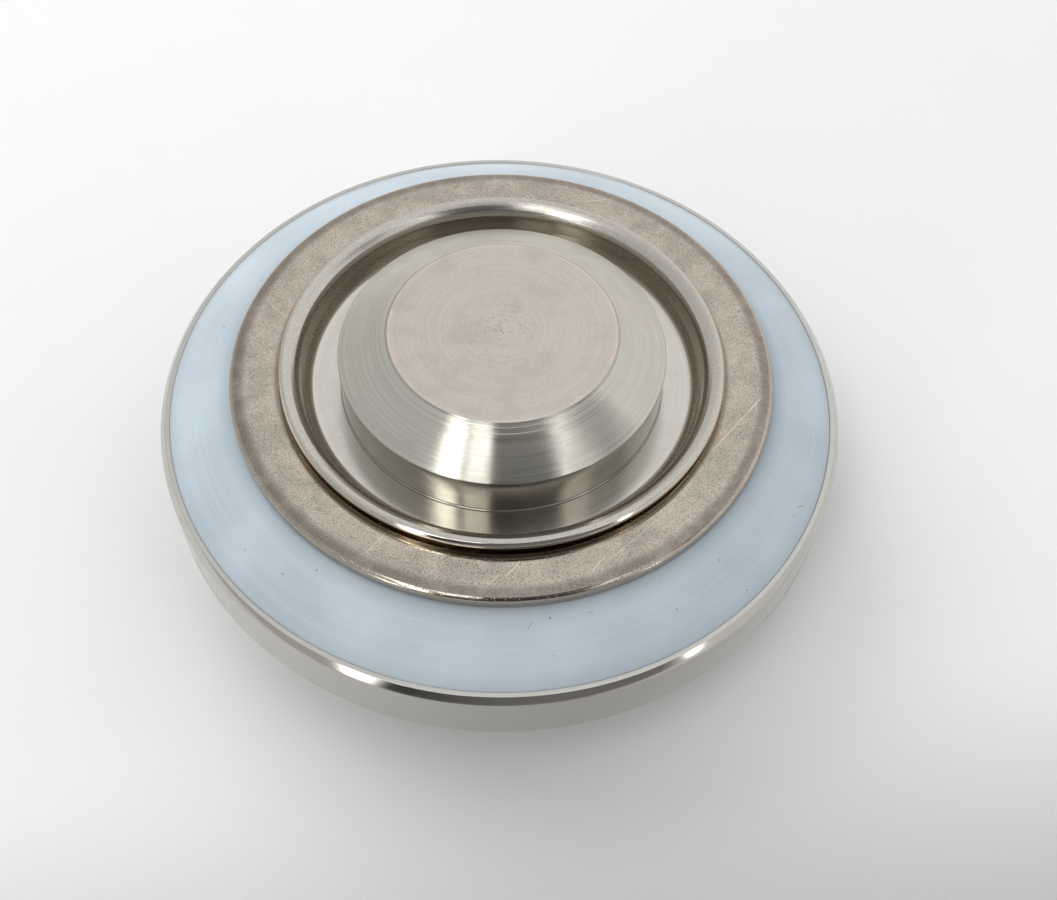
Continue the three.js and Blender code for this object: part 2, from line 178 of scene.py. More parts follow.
def corner_arc(before, corner, after, radius):
    """Points of a fillet at a corner of an outline; just the corner where the radius is 0."""
    p, a, b = Vector(corner), Vector(before), Vector(after)
    u, v = (a - p).normalized(), (b - p).normalized()
    angle = math.acos(max(-1.0, min(1.0, u.dot(v))))
    if radius <= 0 or angle > math.radians(178):
        return [tuple(p)]
    reach = min(radius / math.tan(angle / 2), 0.49 * (a - p).length, 0.49 * (b - p).length)
    radius = reach * math.tan(angle / 2)
    centre = p + (u + v).normalized() * (radius / math.sin(angle / 2))
    start, end = p + u * reach - centre, p + v * reach - centre
    sweep = math.atan2(start.x * end.y - start.y * end.x, start.dot(end))
    count = max(2, math.ceil(abs(sweep) / math.radians(15)))
    first = math.atan2(start.y, start.x)
    return [
        (
            centre.x + radius * math.cos(first + sweep * i / count),
            centre.y + radius * math.sin(first + sweep * i / count),
        )
        for i in range(count + 1)
    ]


def rounded(outline):
    """Turns [(radius, height, fillet), ...] into plain points, with every fillet drawn as an arc."""
    points = [(row[0], row[1]) for row in outline]
    fillets = [row[2] if len(row) > 2 else 0 for row in outline]
    drawn = []
    for i, point in enumerate(points):
        before, after = points[i - 1], points[(i + 1) % len(points)]
        drawn.extend(corner_arc(before, point, after, fillets[i]))
    return drawn


def draw_profile(name, points, closed):
    """Draws an outline in the XZ plane, one extruded vertex at a time, and leaves it in edit mode."""
    clear_selection()
    start = Vector((points[0][0], 0, points[0][1])) * MM
    bpy.ops.mesh.primitive_plane_add(size=MM, location=start)
    piece = named(name)
    bpy.ops.object.mode_set(mode="EDIT")
    bpy.ops.mesh.select_all(action="SELECT")
    bpy.ops.mesh.merge(type="CENTER")
    route = points[1:] + ([points[0]] if closed else [])
    here = points[0]
    for there in route:
        step = ((there[0] - here[0]) * MM, 0, (there[1] - here[1]) * MM)
        bpy.ops.mesh.extrude_region_move(TRANSFORM_OT_translate={"value": step})
        here = there
    bpy.ops.mesh.select_all(action="SELECT")
    bpy.ops.mesh.remove_doubles(threshold=2e-7)
    return piece


def spun(name, outline, smooth=30):
    """Spins a closed outline about the Z axis. An outline whose ends are on the axis stays open there."""
    points = rounded(outline)
    on_axis = abs(points[0][0]) < 1e-9 and abs(points[-1][0]) < 1e-9
    piece = draw_profile(name, points, closed=not on_axis)
    bpy.ops.mesh.spin(
        steps=bpy.context.scene.valve_sizes.facets,
        angle=2 * math.pi,
        center=(0, 0, 0),
        axis=(0, 0, 1),
    )
    bpy.ops.mesh.select_all(action="SELECT")
    bpy.ops.mesh.remove_doubles(threshold=1e-6)
    bpy.ops.mesh.normals_make_consistent(inside=False)
    bpy.ops.object.mode_set(mode="OBJECT")
    settle_origin(piece)
    bpy.ops.object.shade_smooth_by_angle(angle=math.radians(smooth))
    return piece


def bar(name, low, high, width, fillet):
    """A rounded bar along +X between two (radius, height) corners."""
    clear_selection()
    centre = ((low[0] + high[0]) / 2 * MM, 0, (low[1] + high[1]) / 2 * MM)
    bpy.ops.mesh.primitive_cube_add(size=1, location=centre)
    piece = named(name)
    piece.scale = ((high[0] - low[0]) * MM, width * MM, (high[1] - low[1]) * MM)
    settle_origin(piece)
    bpy.ops.object.mode_set(mode="EDIT")
    bpy.ops.mesh.select_all(action="SELECT")
    bpy.ops.mesh.bevel(offset=fillet * MM, segments=3, affect="EDGES")
    bpy.ops.object.mode_set(mode="OBJECT")
    return piece


def prism(name, sides, radius, low, high, place=(0, 0)):
    """A regular prism with its first corner on +X."""
    clear_selection()
    bpy.ops.mesh.primitive_cylinder_add(
        vertices=sides,
        radius=radius * MM,
        depth=(high - low) * MM,
        location=(place[0] * MM, place[1] * MM, (low + high) / 2 * MM),
        rotation=(0, 0, math.pi / 2),
    )
    piece = named(name)
    settle_origin(piece)
    return piece


def copied(piece, name, turn=0.0, shift=(0, 0, 0)):
    """A copy with its own mesh, turned about Z and moved."""
    twin = piece.copy()
    twin.data = piece.data.copy()
    bpy.context.scene.collection.objects.link(twin)
    twin.name = name
    twin.data.name = name
    twin.matrix_world = Matrix.Translation(Vector(shift) * MM) @ Matrix.Rotation(turn, 4, "Z")
    settle_origin(twin)
    return twin


def combine(piece, tool, operation):
    """Joins, cuts or keeps the overlap of two closed pieces, and deletes the tool."""
    make_active(piece)
    modifier = piece.modifiers.new("combine", "BOOLEAN")
    modifier.object = tool
    modifier.operation = operation
    modifier.solver = "EXACT"
    bpy.ops.object.modifier_apply(modifier=modifier.name)
    bpy.data.objects.remove(tool)
    return piece


def smooth(piece, angle=30):
    make_active(piece)
    bpy.ops.object.shade_smooth_by_angle(angle=math.radians(angle))
    return piece


def finish_piece(piece, body, slot, material, *nodes):
    piece.data.materials.clear()
    piece.data.materials.append(material)
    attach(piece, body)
    if nodes:
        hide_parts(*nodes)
    return piece


def paint_faces(piece, material, chosen):
    """Gives a second finish to the faces whose centre passes the test."""
    piece.data.materials.append(material)
    for face in piece.data.polygons:
        if chosen(face.center):
            face.material_index = 1


def paint_node(node, material):
    """Gives a CAD node that stays in view its finish."""
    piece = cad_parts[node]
    if not piece.material_slots:
        piece.data.materials.append(material)
    for place in piece.material_slots:
        place.material = material


# ------------------------------------------------------------------ finishes


class Wiring:
    """Adds nodes to a tree a step at a time."""

    def __init__(self, tree):
        self.tree = tree
        self.tree.nodes.clear()

    def node(self, kind, **settings):
        node = self.tree.nodes.new(kind)
        for key, value in settings.items():
            setattr(node, key, value)
        return node

    def feed(self, socket, value):
        if isinstance(value, bpy.types.NodeSocket):
            self.tree.links.new(value, socket)
        else:
            socket.default_value = value

    def math(self, operation, a, b=0.0, clamp=False):
        node = self.node("ShaderNodeMath", operation=operation, use_clamp=clamp)
        self.feed(node.inputs[0], a)
        self.feed(node.inputs[1], b)
        return node.outputs[0]

    def times(self, *values):
        product = values[0]
        for value in values[1:]:
            product = self.math("MULTIPLY", product, value)
        return product

    def plus(self, a, b, clamp=False):
        return self.math("ADD", a, b, clamp)

    def vector(self, operation, a, b=(0, 0, 0), scale=1.0):
        node = self.node("ShaderNodeVectorMath", operation=operation)
        self.feed(node.inputs[0], a)
        self.feed(node.inputs[1], b)
        if operation == "SCALE":
            self.feed(node.inputs["Scale"], scale)
        single = operation in ("DOT_PRODUCT", "LENGTH", "DISTANCE")
        return node.outputs["Value" if single else "Vector"]

    def combined(self, x, y, z):
        node = self.node("ShaderNodeCombineXYZ")
        for socket, value in zip(node.inputs, (x, y, z)):
            self.feed(socket, value)
        return node.outputs[0]

    def separated(self, vector):
        node = self.node("ShaderNodeSeparateXYZ")
        self.feed(node.inputs[0], vector)
        return node.outputs

    def noise(self, vector, scale, detail=2.0, roughness=0.5, w=None):
        node = self.node("ShaderNodeTexNoise", noise_dimensions="3D" if w is None else "4D")
        self.feed(node.inputs["Vector"], vector)
        self.feed(node.inputs["Scale"], scale)
        self.feed(node.inputs["Detail"], detail)
        self.feed(node.inputs["Roughness"], roughness)
        if w is not None:
            self.feed(node.inputs["W"], w)
        return node.outputs[0]

    def cells(self, vector, scale, randomness=1.0):
        """Distance to the nearest of many scattered points."""
        node = self.node("ShaderNodeTexVoronoi", feature="F1")
        self.feed(node.inputs["Vector"], vector)
        self.feed(node.inputs["Scale"], scale)
        self.feed(node.inputs["Randomness"], randomness)
        return node.outputs["Distance"]

    def ramp(self, value, low, high, to_low=0.0, to_high=1.0, kind="SMOOTHSTEP"):
        """Maps low..high to to_low..to_high, held at both ends."""
        node = self.node("ShaderNodeMapRange", interpolation_type=kind, clamp=True)
        for socket, number in zip(node.inputs, (value, low, high, to_low, to_high)):
            self.feed(socket, number)
        return node.outputs[0]

    def mix(self, factor, a, b):
        node = self.node("ShaderNodeMix", data_type="RGBA")
        self.feed(node.inputs[0], factor)
        self.feed(node.inputs[6], tinted(a))
        self.feed(node.inputs[7], tinted(b))
        return node.outputs[2]

    def bump(self, height, distance, under=None):
        """Raises the surface by height times distance, in metres."""
        node = self.node("ShaderNodeBump")
        self.feed(node.inputs["Strength"], 1.0)
        self.feed(node.inputs["Distance"], distance)
        self.feed(node.inputs["Height"], height)
        if under is not None:
            self.feed(node.inputs["Normal"], under)
        return node.outputs[0]


class Finish(Wiring):
    """A material on a Principled shader, in the valve's own coordinates."""

    def __init__(self, name):
        self.material = bpy.data.materials.new(name)
        self.material.use_nodes = True
        super().__init__(self.material.node_tree)
        self.about_axis = None
        self.place = self.node("ShaderNodeTexCoord").outputs["Object"]
        self.shader = self.node("ShaderNodeBsdfPrincipled")
        output = self.node("ShaderNodeOutputMaterial")
        self.tree.links.new(self.shader.outputs[0], output.inputs["Surface"])

    def shade(self, **values):
        """Sets or links the shader's sockets; an underscore in a name stands for a space."""
        for key, value in values.items():
            self.feed(self.shader.inputs[key.replace("_", " ")], value)

    def polar(self):
        """Radius, cosine and sine of the bearing, and height, of a point about the valve's axis."""
        if not self.about_axis:
            x, y, z = self.separated(self.place)
            radius = self.vector("LENGTH", self.combined(x, y, 0.0))
            safe = self.math("MAXIMUM", radius, 1e-6)
            self.about_axis = (radius, self.math("DIVIDE", x, safe), self.math("DIVIDE", y, safe), z)
        return self.about_axis

    def outward(self, low, high, to_low=0.0, to_high=1.0):
        """A ramp over the distance from the axis, in millimetres."""
        return self.ramp(self.polar()[0], low * MM, high * MM, to_low, to_high)

    def upward(self, low, high, to_low=0.0, to_high=1.0):
        """A ramp over the height, in millimetres."""
        return self.ramp(self.polar()[3], low * MM, high * MM, to_low, to_high)

    def belt(self, start, full, fade, end):
        """One round the axis between full and fade, nothing inside start or outside end."""
        return self.times(self.outward(start, full), self.outward(end, fade))

    def grooves(self, pitch, sway=0.25, seed=0.0, detail=2.0):
        """Tool marks that run round the axis: they change fast across the marks and slowly along them."""
        radius, cosine, sine, height = self.polar()
        spread = self.combined(
            self.math("DIVIDE", radius, pitch * MM),
            self.math("DIVIDE", height, pitch * MM),
            self.times(cosine, sway),
        )
        turn = self.plus(self.times(sine, sway), seed)
        return self.noise(spread, 1.0, detail=detail, w=turn)

    def scratch(self, start, end, width):
        """1 along a straight scratch between two (x, y) points in millimetres, 0 away from it."""
        a = Vector((start[0], start[1], 0)) * MM
        b = Vector((end[0], end[1], 0)) * MM
        x, y, _ = self.separated(self.place)
        from_a = self.vector("SUBTRACT", self.combined(x, y, 0.0), a)
        along = self.math("DIVIDE", self.vector("DOT_PRODUCT", from_a, b - a), (b - a).length_squared)
        held = self.ramp(along, 0.0, 1.0, kind="LINEAR")
        nearest = self.vector("SCALE", b - a, scale=held)
        distance = self.vector("DISTANCE", from_a, nearest)
        taper = self.times(self.ramp(along, 0.0, 0.25), self.ramp(along, 1.0, 0.7))
        line = self.ramp(distance, width * MM, width * MM * 0.3)
        return self.times(line, taper)

    def strongest(self, values):
        total = values[0]
        for value in values[1:]:
            total = self.math("MAXIMUM", total, value)
        return total


def tinted(value):
    """Gives a plain colour its alpha."""
    if isinstance(value, bpy.types.NodeSocket):
        return value
    return (*tuple(value)[:3], 1.0)


def scaled(colour, factor):
    return tuple(min(1.0, channel * factor) for channel in colour)


def steel(name, colour, roughness, anisotropy, pitch, depth, spread=0.12, blotch=0.05, sway=0.4):
    """Turned stainless steel: fine rings, uneven polish and a faint handling haze."""
    fin = Finish(name)
    fine = fin.grooves(pitch, sway=sway, detail=4.0)
    coarse = fin.grooves(pitch * 4, seed=4.0, detail=5.0)
    haze = fin.noise(fin.place, 260.0, detail=4.0, roughness=0.6)
    streak = fin.ramp(fin.plus(fine, fin.times(coarse, 0.5)), 0.5, 1.0, kind="LINEAR")
    tone = fin.mix(streak, scaled(colour, 1 - spread), scaled(colour, 1 + spread))
    tone = fin.mix(fin.ramp(haze, 0.35, 0.75, 0.0, 0.5), tone, scaled(colour, 0.9))
    base = fin.ramp(haze, 0.3, 0.75, roughness - blotch, roughness + blotch)
    uneven = fin.ramp(fine, 0.2, 0.8, -0.04, 0.04, kind="LINEAR")
    fin.tone = tone
    fin.polish = fin.plus(base, uneven)
    fin.relief = fin.bump(coarse, depth * 0.8e-6, fin.bump(fine, depth * 1e-6))
    fin.shade(
        Base_Color=tone,
        Metallic=1.0,
        Roughness=fin.polish,
        Anisotropic=anisotropy,
        Anisotropic_Rotation=0.25,
        Tangent=fin.node("ShaderNodeTangent", direction_type="RADIAL", axis="Z").outputs[0],
        Normal=fin.relief,
    )
    return fin


def ring_finish(colours):
    """Polished ring: the clamped land stays bright, and the side's colour is painted darker as shade."""
    fin = steel("polished ring steel", colours.ring, 0.17, 0.2, 0.09, 0.5, spread=0.07, blotch=0.03)
    # Painted shade: the ring's side is darker in colour than its land.
    side = fin.times(fin.upward(RING_TOP - 0.6, RING_TOP - 1.0), fin.outward(RING_R - 0.4, RING_R - 0.1))
    fin.shade(Base_Color=fin.mix(fin.times(side, 0.8), fin.tone, scaled(colours.ring, 0.77)))
    return fin.material


def bevel_finish(colours):
    """The ring's bevel: a fine cut that mirrors like glass, its colour painted a little darker than the
    ring's as shade.
    """
    # Painted shade: the bevel's colour is the ring's steel darkened.
    fin = steel("bevelled ring steel", scaled(colours.ring, 0.86), 0.09, 0.1, 0.09, 0.3, blotch=0.02)
    return fin.material


def seat_finish(colours):
    """Milky, slightly translucent polymer with a soft gloss, dust specks and a few fibres, and painted
    shade next to the plate and the ring.
    """
    fin = Finish("pale blue seat polymer")
    cloud = fin.noise(fin.place, 75.0, detail=3.0)
    lathe = fin.grooves(0.30, sway=0.8, seed=2.0, detail=4.0)
    tone = fin.mix(fin.ramp(cloud, 0.3, 0.7), scaled(colours.seat, 0.89), scaled(colours.seat, 1.06))
    tone = fin.mix(fin.ramp(lathe, 0.3, 0.75, 0.0, 0.35), tone, scaled(colours.seat, 1.12))
    # Painted shade: darker next to the plate's rim and next to the ring, partly also the polymer's thinner
    # edges.
    shade_by_plate = fin.outward(SEAT_CREST[0] + 2.6, SEAT_CREST[0])
    shade_by_ring = fin.outward(SEAT_RIM[0] - 2.06, SEAT_RIM[0] - 0.06, 0.0, 0.6)
    tone = fin.mix(fin.times(fin.plus(shade_by_plate, shade_by_ring), 0.6), tone, scaled(colours.seat, 0.74))
    speck_place = fin.cells(fin.place, 380.0)
    pick = fin.noise(fin.place, 300.0, detail=0.0)
    specks = fin.times(fin.ramp(speck_place, 0.075, 0.03), fin.ramp(pick, 0.50, 0.56))
    fibres = fin.strongest([fin.scratch(*line) for line in SEAT_FIBRES])
    dirt = fin.math("MAXIMUM", specks, fibres)
    tone = fin.mix(fin.times(dirt, 0.75), tone, (0.06, 0.07, 0.09))
    fin.shade(
        Base_Color=tone,
        Roughness=fin.ramp(lathe, 0.2, 0.8, 0.30, 0.38, kind="LINEAR"),
        IOR=1.42,
        Subsurface_Weight=0.35,
        Subsurface_Radius=(0.9, 1.0, 1.15),
        Subsurface_Scale=0.0022,
        Normal=fin.bump(lathe, 0.7e-6, fin.bump(cloud, 9e-6)),
    )
    return fin.material


def plate_finish(colours):
    """Pickled sheet: fine grain, etched pits and tarnish towards the rim, bright rubbed scratches, a
    painted dark outer edge and painted shade beside the lip.
    """
    fin = Finish("pickled plate steel")
    plate = colours.plate
    grain = fin.noise(fin.place, 6200.0, detail=2.0, roughness=0.6)
    patch = fin.noise(fin.place, 260.0, detail=6.0, roughness=0.7)
    pit_place = fin.cells(fin.place, 3000.0)
    rimward = fin.outward(PLATE_R - 5.5, PLATE_R - 1.6)
    crowd = fin.plus(fin.ramp(patch, 0.40, 0.62), fin.times(rimward, 0.75), clamp=True)
    pits = fin.times(fin.ramp(pit_place, 0.36, 0.14), crowd)
    lines = fin.strongest([fin.scratch(*line) for line in PLATE_SCRATCHES])
    tone = fin.mix(fin.ramp(grain, 0.35, 0.65), scaled(plate, 0.72), scaled(plate, 1.2))
    tone = fin.mix(fin.ramp(patch, 0.38, 0.66, 0.0, 0.7), tone, scaled(plate, 0.72))
    tone = fin.mix(fin.times(pits, 0.8), tone, scaled(plate, 0.32))
    tarnish = fin.belt(PLATE_R - 2.3, PLATE_R - 1.2, PLATE_R - 0.7, PLATE_R - 0.25)
    mottled = fin.times(fin.ramp(patch, 0.25, 0.6, 0.55, 0.95), fin.ramp(grain, 0.38, 0.62, 0.45, 1.0))
    tone = fin.mix(fin.times(tarnish, mottled), tone, scaled(plate, 0.34))
    # Painted shade: the outer edge is darkened in colour, standing in for the dark line it mirrors.
    edge = fin.outward(PLATE_R - 0.4, PLATE_R - 0.15, 0.0, 0.6)
    tone = fin.mix(edge, tone, scaled(plate, 0.7))
    # Painted shade: a dark brown band on the plate under the cup's lip.
    lip_shade_mask = fin.outward(LIP_R + 0.95, LIP_R + 0.35, 0.0, 0.7)
    tone = fin.mix(lip_shade_mask, tone, LIP_SHADE_TINT)
    tone = fin.mix(fin.times(lines, 0.85), tone, scaled(plate, 1.5))
    rim_rub = fin.outward(PLATE_R - 1.1, PLATE_R - 0.5, 0.0, -0.12)
    lip_rub = fin.outward(LIP_R + 2.4, LIP_R + 1.0, 0.0, -0.12)
    dull = fin.ramp(patch, 0.3, 0.7, 0.17, 0.26)
    between = fin.belt(LIP_R + 0.8, LIP_R + 2.2, PLATE_R - 1.2, PLATE_R - 0.6)
    rough_grain = fin.times(grain, fin.plus(fin.times(between, 0.9), 0.1))
    relief = fin.bump(rough_grain, 7e-6, fin.bump(patch, 14e-6))
    fin.shade(
        Base_Color=tone,
        Metallic=1.0,
        Roughness=fin.plus(dull, fin.plus(rim_rub, lip_rub)),
        Normal=fin.bump(lines, -6e-6, fin.bump(pits, -12e-6, relief)),
    )
    return fin.material


def cup_finish(colours):
    """Spun sheet: bright floor and wall, with painted shade on the wall below the lip."""
    fin = steel("spun cup steel", colours.cup, 0.16, 0.85, 0.16, 0.5, spread=0.10, blotch=0.02)
    # Painted shade: the wall darkens towards the lip.
    lip_wall_shade = fin.upward(CUP_TOP - 2.2, CUP_TOP - 1.4, 0.0, 0.6)
    fin.shade(Base_Color=fin.mix(lip_wall_shade, fin.tone, scaled(colours.cup, 0.76)))
    return fin.material


def lip_finish(colours):
    """The rolled lip: the same sheet with its colour painted darker as shade, less directional, with faint
    ribs.
    """
    # Painted shade: the lip's colour is a darker copy of the cup's steel.
    fin = steel("rolled lip steel", colours.lip, 0.21, 0.2, 0.16, 0.8, spread=0.10, blotch=0.02)
    ribs = fin.grooves(0.28, seed=7.0, detail=1.0)
    grain = fin.noise(fin.place, 4200.0, detail=3.0, roughness=0.65)
    ground = fin.outward(LIP_R - 0.5, LIP_R - 0.15)
    tone = fin.mix(fin.ramp(grain, 0.36, 0.64), fin.tone, scaled(colours.lip, 1.3))
    fin.shade(
        Base_Color=fin.mix(0.5, fin.tone, tone),
        Roughness=fin.plus(fin.polish, fin.times(ground, -0.14)),
        Normal=fin.bump(ribs, 3e-6, fin.bump(grain, 1.5e-6, fin.relief)),
    )
    return fin.material


def boss_finish(colours):
    """Turned bar: a bright cone, ridged where the tool first bit, and a side painted darker as shade."""
    boss = colours.boss
    fin = steel("turned boss steel", boss, 0.20, 0.95, 0.085, 0.6, spread=0.16, blotch=0.02, sway=1.2)
    flat = bpy.context.scene.valve_sizes.boss_flat / MM
    patch = fin.noise(fin.place, 170.0, detail=4.0, roughness=0.6)
    seam = fin.outward(flat + 0.45, flat + 0.2, 0.0, 0.45)
    tone = fin.mix(seam, fin.tone, scaled(boss, 0.5))
    # Painted shade: the side's colour is darkened; the same mask also polishes the side.
    side_shade_and_polish = fin.outward(BOSS_R - 0.1, BOSS_R - 0.03)
    tone = fin.mix(fin.times(side_shade_and_polish, 0.82), tone, scaled(boss, 0.4))
    tone = fin.mix(fin.ramp(patch, 0.45, 0.75, 0.0, 0.3), tone, scaled(boss, 0.82))
    ridges = fin.grooves(0.34, sway=0.5, seed=9.0, detail=2.0)
    ridges = fin.times(ridges, fin.outward(flat + 2.3, flat + 1.2))
    fin.shade(
        Base_Color=tone,
        Roughness=fin.plus(fin.polish, fin.times(side_shade_and_polish, -0.09)),
        Normal=fin.bump(ridges, 60e-6, fin.relief),
    )
    return fin.material


def boss_top_finish(colours):
    """The boss's faced top: dull, with tool rings, a bright brim and pits at the centre."""
    top = colours.boss_top
    fin = steel("faced boss steel", top, 0.45, 0.25, 0.085, 0.4, spread=0.10, blotch=0.03)
    flat = bpy.context.scene.valve_sizes.boss_flat / MM
    faced = fin.grooves(0.26, sway=0.4, seed=1.0, detail=3.0)
    grain = fin.noise(fin.place, 5200.0, detail=3.0, roughness=0.7)
    worn = fin.plus(fin.times(faced, 0.3), fin.times(grain, 0.7))
    tone = fin.mix(fin.ramp(worn, 0.36, 0.64), scaled(top, 0.92), scaled(top, 1.10))
    drawn_out = fin.vector("MULTIPLY", fin.place, (0.5, 1.0, 1.0))
    smear = fin.ramp(fin.noise(drawn_out, 620.0, detail=4.0, roughness=0.7), 0.52, 0.68)
    tone = fin.mix(fin.times(smear, fin.outward(9.5, 2.0), 0.35), tone, scaled(top, 0.62))
    brim = fin.belt(flat - 0.45, flat - 0.28, flat - 0.10, flat + 0.05)
    tone = fin.mix(fin.times(brim, 0.35), tone, scaled(top, 1.3))
    patch = fin.noise(fin.place, 210.0, detail=6.0, roughness=0.65)
    tone = fin.mix(fin.ramp(patch, 0.42, 0.66, 0.0, 0.5), tone, scaled(top, 0.84))
    pit_place = fin.cells(fin.place, 2600.0)
    pick = fin.noise(fin.place, 1100.0, detail=2.0)
    pits = fin.times(fin.ramp(pit_place, 0.34, 0.12), fin.ramp(pick, 0.50, 0.60))
    pits = fin.times(pits, fin.outward(6.5, 0.5, 0.08, 0.98))
    tone = fin.mix(fin.times(pits, 0.8), tone, (0.05, 0.045, 0.04))
    fin.shade(Base_Color=tone, Normal=fin.bump(pits, -9e-6, fin.bump(faced, 0.8e-6, fin.relief)))
    return fin.material


def cast_finish(name, colour):
    """Bead-blasted investment casting: a fine even pebble with slightly rubbed high spots."""
    fin = Finish(name)
    pebble = fin.noise(fin.place, 3000.0, detail=3.0, roughness=0.6)
    dimples = fin.cells(fin.place, 1500.0)
    stain = fin.noise(fin.place, 120.0, detail=4.0, roughness=0.65)
    tone = fin.mix(pebble, scaled(colour, 0.86), scaled(colour, 1.12))
    tone = fin.mix(fin.ramp(stain, 0.4, 0.75, 0.0, 0.45), tone, scaled(colour, 0.75))
    fin.shade(
        Base_Color=tone,
        Metallic=1.0,
        Roughness=fin.ramp(stain, 0.3, 0.7, 0.40, 0.52),
        Normal=fin.bump(pebble, 9e-6, fin.bump(dimples, 8e-6)),
    )
    return fin.material


def hardware_finish(colours):
    return steel("fastener steel", colours.hardware, 0.3, 0.3, 0.12, 1.4).material


def stem_finish(colours):
    return steel("ground stem steel", colours.hardware, 0.2, 0.4, 0.07, 0.8, spread=0.05).material


def spring_finish(colours):
    """Drawn wire: fine die lines and a slightly dark oxide."""
    fin = Finish("drawn spring wire")
    drawn = fin.noise(fin.place, 2600.0, detail=3.0, roughness=0.6)
    oxide = fin.noise(fin.place, 420.0, detail=3.0)
    tone = fin.mix(drawn, scaled(colours.spring, 0.8), scaled(colours.spring, 1.2))
    tone = fin.mix(fin.ramp(oxide, 0.4, 0.7, 0.0, 0.4), tone, (0.27, 0.235, 0.19))
    fin.shade(
        Base_Color=tone,
        Metallic=1.0,
        Roughness=fin.ramp(oxide, 0.3, 0.7, 0.22, 0.36),
        Normal=fin.bump(drawn, 2.5e-6),
    )
    return fin.material


def bush_finish(colours):
    """Machined low-friction polymer."""
    fin = Finish("guide bush polymer")
    cut = fin.grooves(0.2)
    fin.shade(
        Base_Color=fin.mix(cut, scaled(colours.bush, 0.92), colours.bush),
        Roughness=fin.ramp(cut, 0.2, 0.8, 0.42, 0.55, kind="LINEAR"),
        Subsurface_Weight=0.2,
        Subsurface_Scale=0.0008,
        Normal=fin.bump(cut, 2e-6),
    )
    return fin.material


def seal_finish(colours):
    """Black elastomer with a faint bloom."""
    fin = Finish("seal rubber")
    bloom = fin.noise(fin.place, 700.0, detail=3.0)
    fin.shade(
        Base_Color=fin.mix(fin.ramp(bloom, 0.4, 0.8), colours.seal, (0.05, 0.05, 0.052)),
        Roughness=fin.ramp(bloom, 0.3, 0.7, 0.45, 0.62),
        Normal=fin.bump(bloom, 4e-6),
    )
    return fin.material


# Dark brown on the plate beside the cup's lip, linear: painted shade and reflection under the lip, tinted
# brown.
LIP_SHADE_TINT = (0.20, 0.15, 0.105)

# Scratches across the disc plate: start, end, width, in millimetres.
PLATE_SCRATCHES = [
    ((-12.7, -27.0), (-15.1, -30.6), 0.09),
    ((-12.2, -27.3), (-14.5, -30.2), 0.06),
    ((3.8, -30.0), (1.8, -32.9), 0.10),
    ((1.3, -32.3), (-0.2, -34.0), 0.06),
    ((13.9, -28.9), (11.8, -32.1), 0.07),
    ((34.3, -4.2), (31.8, -7.4), 0.09),
    ((32.6, -6.4), (26.9, -13.6), 0.06),
    ((31.2, -7.9), (28.0, -12.1), 0.05),
    ((24.4, -16.5), (21.2, -20.9), 0.06),
    ((23.2, -20.8), (12.2, -31.7), 0.045),
    ((26.9, -14.4), (22.4, -21.3), 0.045),
    ((-29.8, 6.2), (-33.0, 9.0), 0.05),
    ((9.5, 30.3), (14.6, 31.0), 0.05),
    ((-20.5, 24.0), (-23.4, 22.6), 0.05),
]

# Fibres and dust lying on the seat: start, end, width, in millimetres.
SEAT_FIBRES = [
    ((5.4, -37.0), (4.7, -38.3), 0.05),
    ((-25.3, -31.4), (-25.0, -31.8), 0.10),
    ((-21.0, -31.3), (-20.8, -31.7), 0.10),
    ((39.6, -17.3), (38.5, -18.1), 0.06),
    ((27.8, -27.2), (28.0, -27.6), 0.09),
    ((12.6, -35.7), (11.7, -35.6), 0.05),
    ((-38.2, 6.0), (-38.9, 6.5), 0.06),
    ((-16.2, 36.4), (-15.4, 36.9), 0.05),
]


# ------------------------------------------------------------------ pieces


class ValveOperator(bpy.types.Operator):
    """Base of the operators that make a piece."""

    bl_options = {"REGISTER", "UNDO"}

    def execute(self, context):
        self.make(context.scene.valve_sizes, context.scene.valve_colours)
        return {"FINISHED"}


class VALVE_OT_body_ring(ValveOperator):
    """Make the wafer body ring with its bevel, land, snap groove and seal groove"""

    bl_idname = "valve.body_ring"
    bl_label = "Body ring"

    def make(self, sizes, colours):
        land_r = RING_R - sizes.ring_bevel / MM
        mouth_r = land_r - sizes.ring_land / MM
        bevel_foot = RING_TOP - BEVEL_HEIGHT - 0.03
        piece = spun(
            "body_ring_turned",
            [
                (31.5, 14.5, 0.15), (42.2, 14.5, 0.1), (42.2, RING_LOW, 0.15),
                (RING_R - 0.5, RING_LOW, 0.12), (RING_R, RING_LOW + 0.5, 0.15),
                (RING_R, RING_TOP - BEVEL_HEIGHT, 0.06), (land_r, RING_TOP, 0.06),
                (mouth_r, RING_TOP, 0.05), (mouth_r, 20.3, 0.1), (mouth_r + 0.5, 19.9, 0.1),
                (mouth_r + 0.5, 18.7, 0.1), (mouth_r, 18.3, 0.1), (mouth_r, 17.0, 0.2),
                (42.0, 17.0, 0.1), (42.0, 15.7, 0.2), (39.2, 15.7, 0.2), (39.2, 17.0, 0.1),
                (31.5, 17.0, 0.15),
            ],
        )
        finish_piece(piece, BODY, "body_ring", ring_finish(colours), "body_ring")
        paint_faces(
            piece,
            bevel_finish(colours),
            lambda spot: spot.z > bevel_foot * MM and math.hypot(spot.x, spot.y) > land_r * MM,
        )


